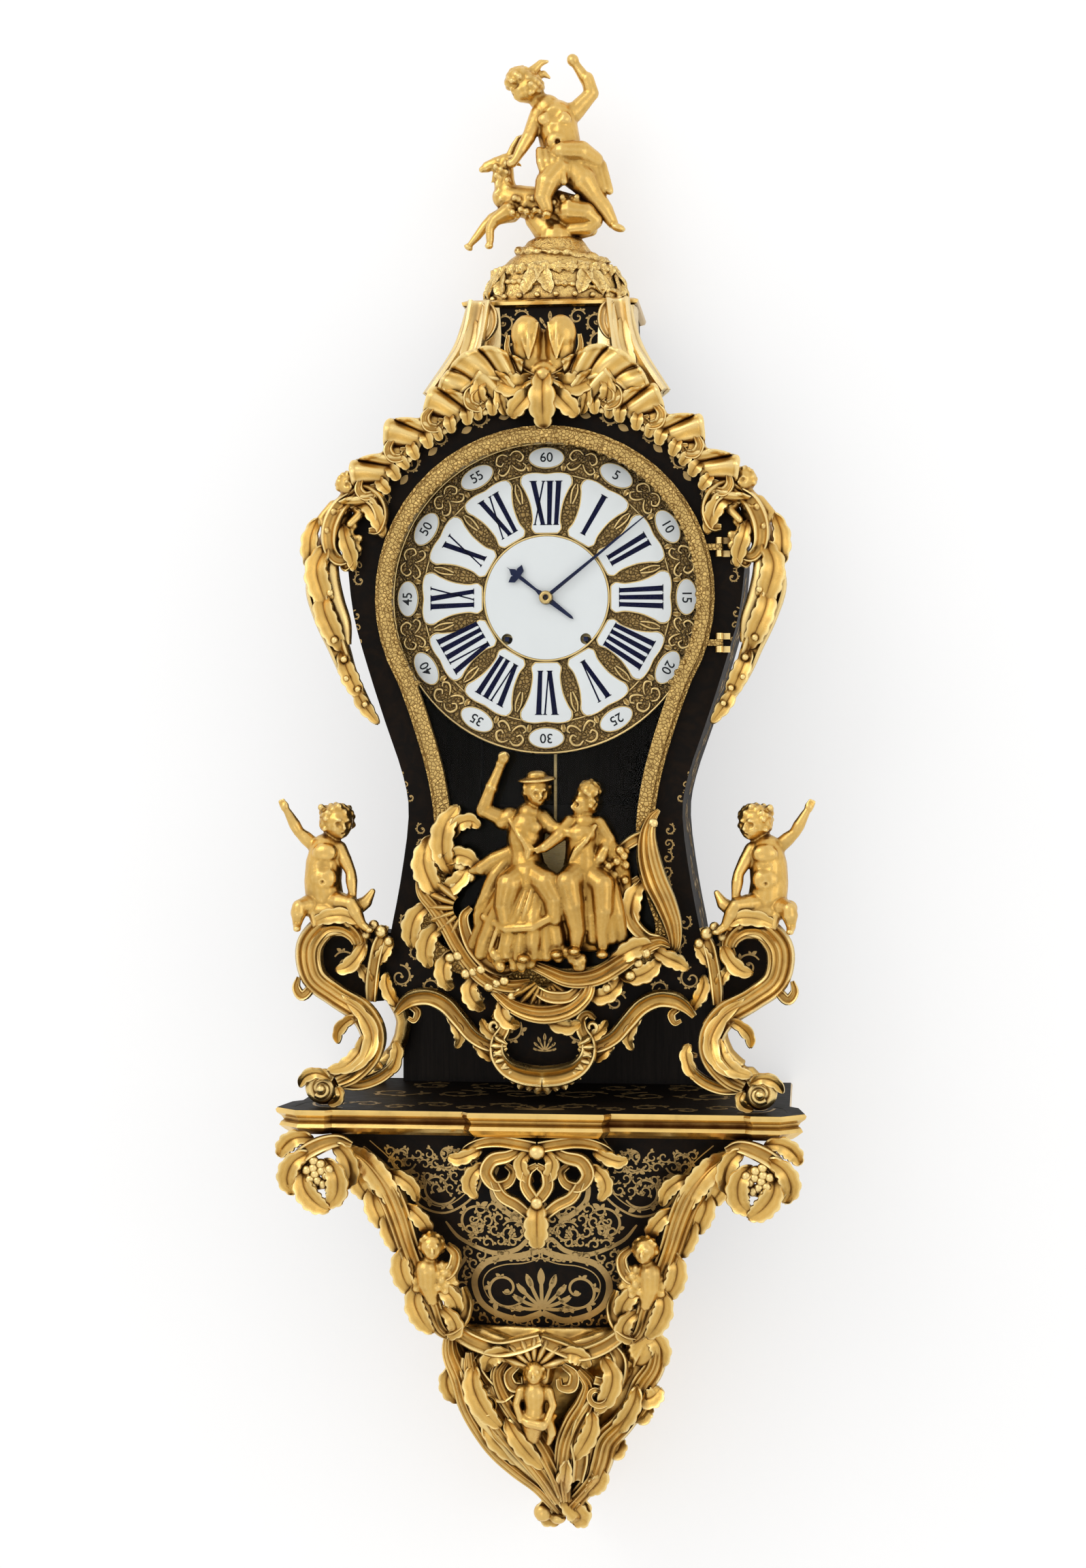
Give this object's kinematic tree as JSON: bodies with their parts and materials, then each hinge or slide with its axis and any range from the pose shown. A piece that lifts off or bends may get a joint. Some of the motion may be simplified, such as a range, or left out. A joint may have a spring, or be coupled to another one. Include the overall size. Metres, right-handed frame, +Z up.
{
  "type": "pendulum clock",
  "caption": "Bracket clock in a waisted marquetry case with gilt mounts, enamel dial and short pendulum, standing on its matching wall bracket.",
  "frame": {"origin": "on the wall plane, midway between the bracket's two wall hook holes", "axes": "+Z up, -Y towards the viewer, +X to the viewer's right"},
  "size_m": [0.495, 0.262, 1.4098],
  "materials": {
    "black_marquetry": "polished",
    "gilt_bronze": "gilt, matt and burnished",
    "stained_oak": "stained black",
    "chased_brass": "chased",
    "movement_brass": "brushed",
    "bell_metal": "turned",
    "enamel": "glossy",
    "clear_glass": "clear",
    "blued_steel": "blued",
    "steel": "brushed"
  },
  "bodies": {
    "bracket": {"bracket_core": "black_marquetry", "shelf_board": "black_marquetry", "shelf_moulding": "gilt_bronze", "hook_plates": "steel", "pendant_mount": "gilt_bronze", "bracket_corner_left": "gilt_bronze", "bracket_corner_right": "gilt_bronze", "bracket_side_left": "gilt_bronze", "bracket_side_right": "gilt_bronze", "bracket_foot_mount": "gilt_bronze"},
    "clock": {"case_side_left": "black_marquetry", "case_side_right": "black_marquetry", "case_arch": "black_marquetry", "case_floor": "stained_oak", "front_frame": "black_marquetry", "apron_board": "black_marquetry", "back_frame": "stained_oak", "seat_board": "stained_oak", "pediment": "black_marquetry", "cornice": "gilt_bronze", "dome": "gilt_bronze", "finial_putto": "gilt_bronze", "finial_goat": "gilt_bronze", "pediment_corners": "gilt_bronze", "crest_shell": "gilt_bronze", "arch_ruffles": "gilt_bronze", "shoulder_left": "gilt_bronze", "shoulder_right": "gilt_bronze", "foot_scroll_left": "gilt_bronze", "foot_scroll_right": "gilt_bronze", "rear_feet": "gilt_bronze", "putto_left": "gilt_bronze", "putto_right": "gilt_bronze", "apron_mount": "gilt_bronze", "case_hinges": "gilt_bronze", "dial_plate": "chased_brass", "dial_enamels": "enamel", "front_plate": "movement_brass", "back_plate": "movement_brass", "bell": "bell_metal"},
    "front_door": {"door_frame": "gilt_bronze", "door_glass": "clear_glass", "door_figures": "gilt_bronze", "door_scrolls": "gilt_bronze"},
    "rear_door": {"back_door": "stained_oak"},
    "minute_arbor": {"minute_hand": "blued_steel"},
    "hour_pipe": {"hour_hand": "blued_steel"},
    "motion_wheel": {"minute_wheel": "movement_brass"},
    "third_arbor": {"third_wheel": "movement_brass"},
    "centre_arbor": {"centre_wheel": "movement_brass"},
    "intermediate_arbor": {"intermediate_wheel": "movement_brass"},
    "escape_arbor": {"escape_wheel": "movement_brass"},
    "going_spring": {"going_barrel": "movement_brass"},
    "going_winder": {"going_arbor": "steel"},
    "strike_spring": {"strike_barrel": "movement_brass"},
    "strike_winder": {"strike_arbor": "steel"},
    "strike_pins": {"pin_wheel": "movement_brass"},
    "bell_hammer": {"hammer": "steel"},
    "pallets": {"crutch": "steel"},
    "swinging_pendulum": {"pendulum": "movement_brass"}
  },
  "joints": [
    {"name": "clock_lift", "type": "slide", "parent": "bracket", "child": "clock", "axis": [0, 0, 1], "range_m": [0, 0.06]},
    {"name": "front_door_hinge", "type": "hinge", "parent": "clock", "child": "front_door", "pos_m": [0.162, -0.1856, 0.51], "axis": [0, 0, 1], "range_deg": [0, 95]},
    {"name": "rear_door_hinge", "type": "hinge", "parent": "clock", "child": "rear_door", "pos_m": [-0.136, -0.008, 0.51], "axis": [0, 0, 1], "range_deg": [0, 110]},
    {"name": "minute_hand_turn", "type": "hinge", "parent": "clock", "child": "minute_arbor", "pos_m": [0, -0.1175, 0.51], "axis": [0, 1, 0], "continuous": true},
    {"name": "minute_wheel_turn", "type": "hinge", "parent": "clock", "child": "motion_wheel", "pos_m": [0.009, -0.1175, 0.52559], "axis": [0, 1, 0], "continuous": true},
    {"name": "hour_hand_turn", "type": "hinge", "parent": "clock", "child": "hour_pipe", "pos_m": [0, -0.1175, 0.51], "axis": [0, 1, 0], "continuous": true},
    {"name": "third_wheel_turn", "type": "hinge", "parent": "clock", "child": "third_arbor", "pos_m": [-0.01444, -0.1175, 0.52917], "axis": [0, 1, 0], "continuous": true},
    {"name": "centre_wheel_turn", "type": "hinge", "parent": "clock", "child": "centre_arbor", "pos_m": [0, -0.1175, 0.51], "axis": [0, 1, 0], "continuous": true},
    {"name": "intermediate_wheel_turn", "type": "hinge", "parent": "clock", "child": "intermediate_arbor", "pos_m": [0.02581, -0.1175, 0.50445], "axis": [0, 1, 0], "continuous": true},
    {"name": "escape_wheel_turn", "type": "hinge", "parent": "clock", "child": "escape_arbor", "pos_m": [0, -0.1175, 0.54503], "axis": [0, 1, 0], "continuous": true},
    {"name": "going_barrel_turn", "type": "hinge", "parent": "clock", "child": "going_spring", "pos_m": [0.037, -0.1175, 0.4715], "axis": [0, 1, 0], "continuous": true},
    {"name": "going_winding", "type": "hinge", "parent": "clock", "child": "going_winder", "pos_m": [0.037, -0.1175, 0.4715], "axis": [0, 1, 0], "range_deg": [0, 1800]},
    {"name": "pin_wheel_turn", "type": "hinge", "parent": "clock", "child": "strike_pins", "pos_m": [-0.02581, -0.1175, 0.50445], "axis": [0, 1, 0], "continuous": true},
    {"name": "strike_barrel_turn", "type": "hinge", "parent": "clock", "child": "strike_spring", "pos_m": [-0.037, -0.1175, 0.4715], "axis": [0, 1, 0], "continuous": true},
    {"name": "strike_winding", "type": "hinge", "parent": "clock", "child": "strike_winder", "pos_m": [-0.037, -0.1175, 0.4715], "axis": [0, 1, 0], "range_deg": [0, 1800]},
    {"name": "hammer_lift", "type": "hinge", "parent": "clock", "child": "bell_hammer", "pos_m": [-0.052, -0.1175, 0.532], "axis": [0, -1, 0], "range_deg": [0, 8], "stiffness_Nm_per_rad": 0.05, "springref_deg": -5.73},
    {"name": "pendulum_swing", "type": "hinge", "parent": "clock", "child": "swinging_pendulum", "pos_m": [0, -0.08, 0.56603], "axis": [0, 1, 0], "range_deg": [-3.5, 3.5]},
    {"name": "crutch_swing", "type": "hinge", "parent": "clock", "child": "pallets", "pos_m": [0, -0.08, 0.56603], "axis": [0, 1, 0], "range_deg": [-3.5, 3.5]}
  ],
  "couplings": [
    {"joint": "minute_wheel_turn", "follows": "minute_hand_turn", "ratio": -0.33333},
    {"joint": "hour_hand_turn", "follows": "minute_hand_turn", "ratio": 0.083333},
    {"joint": "escape_wheel_turn", "follows": "third_wheel_turn", "ratio": -12},
    {"joint": "centre_wheel_turn", "follows": "third_wheel_turn", "ratio": -0.11111},
    {"joint": "intermediate_wheel_turn", "follows": "third_wheel_turn", "ratio": 0.019841},
    {"joint": "going_barrel_turn", "follows": "third_wheel_turn", "ratio": -0.0031746},
    {"joint": "strike_barrel_turn", "follows": "pin_wheel_turn", "ratio": -0.16},
    {"joint": "crutch_swing", "follows": "pendulum_swing", "ratio": 1}
  ]
}
